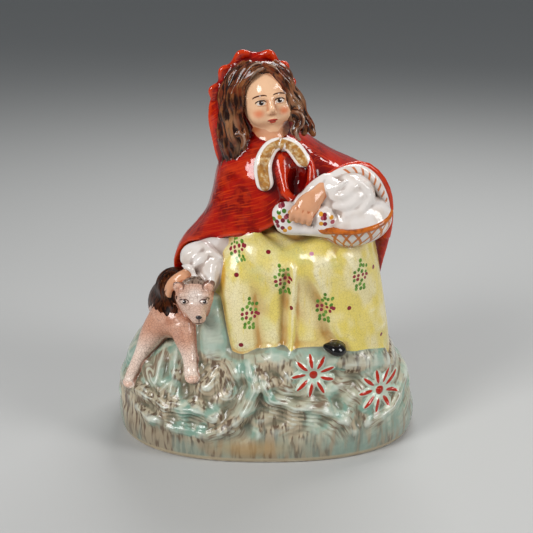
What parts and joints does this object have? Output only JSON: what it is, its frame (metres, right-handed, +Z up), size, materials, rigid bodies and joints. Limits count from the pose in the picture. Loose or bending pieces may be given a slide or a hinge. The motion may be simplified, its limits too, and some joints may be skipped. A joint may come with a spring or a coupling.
{
  "type": "ceramic woman figurine",
  "caption": "Seated country woman in a hooded cloak with a basket on her lap and a small dog at her side, a painted glazed earthenware mantel figurine.",
  "frame": {"origin": "middle of the flat underside of the base", "axes": "+Z up, the figure faces -Y, +X is to the right as seen from the front"},
  "size_m": [0.1612, 0.1142, 0.2],
  "materials": {
    "glazed_earthenware": "gloss"
  },
  "bodies": {
    "root": {"figurine": "glazed_earthenware"}
  },
  "joints": []
}
